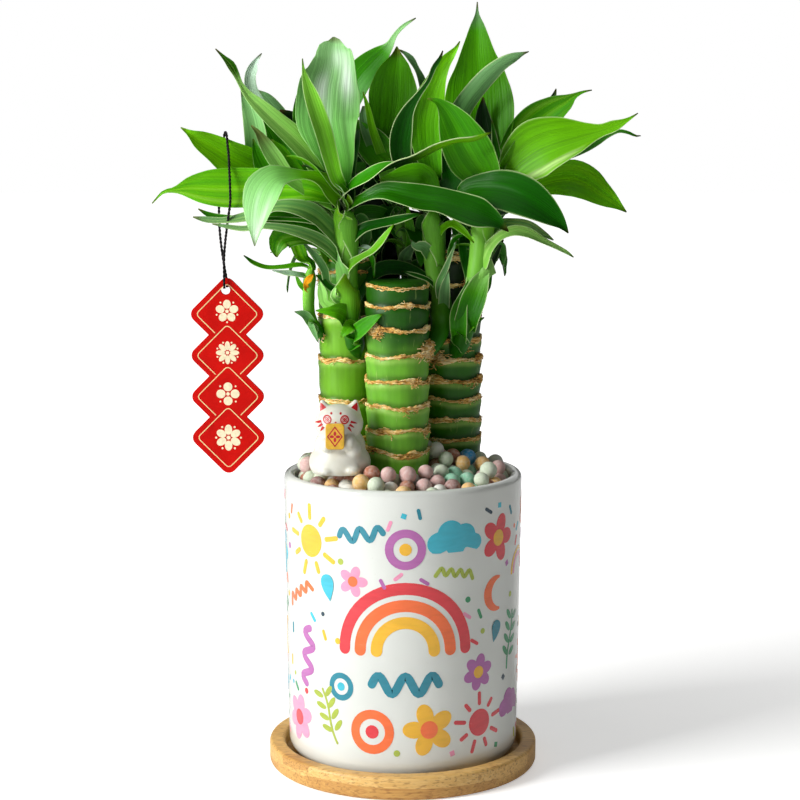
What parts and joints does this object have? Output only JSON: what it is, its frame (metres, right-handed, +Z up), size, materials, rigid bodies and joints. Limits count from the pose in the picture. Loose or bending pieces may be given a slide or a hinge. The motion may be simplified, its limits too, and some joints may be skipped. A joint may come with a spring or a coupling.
{
  "type": "potted lucky bamboo",
  "caption": "Potted lucky bamboo: ringed green canes with leafy shoots in a straight ceramic pot on a wooden saucer, with clay balls, a small sitting cat and a tag hung on a leaf.",
  "frame": {"origin": "centre of the saucer's flat underside", "axes": "+Z up, -Y towards the front with the cat, +X to the right seen from the front"},
  "size_m": [0.2023, 0.1412, 0.32],
  "materials": {
    "bamboo_wood": "sanded and lightly lacquered bamboo",
    "glazed_ceramic": "glossy glazed ceramic with painted motifs",
    "growing_mix": "loose damp growing mix",
    "clay": "matte fired clay in mixed pale colours",
    "cane": "satin green living cane with tan fibre rings",
    "leaf": "satin to glossy living leaf",
    "white_resin": "painted resin",
    "gold_resin": "gold paint",
    "red_lacquer": "red lacquer with gold lines",
    "black_cord": "twisted cord"
  },
  "bodies": {
    "root": {"saucer": "bamboo_wood", "pot": "glazed_ceramic", "growing_mix": "growing_mix", "clay_balls": "clay", "cane_front": "cane", "cane_left": "cane", "cane_right": "cane", "cane_back": "cane", "shoot_left_front": "leaf", "shoot_left_small": "leaf", "shoot_left_back": "leaf", "shoot_back": "leaf", "shoot_centre": "leaf", "shoot_right": "leaf", "shoot_right_back": "leaf", "cat": "white_resin", "plaque": "gold_resin", "tag": "red_lacquer", "tag_cord": "black_cord"}
  },
  "joints": []
}
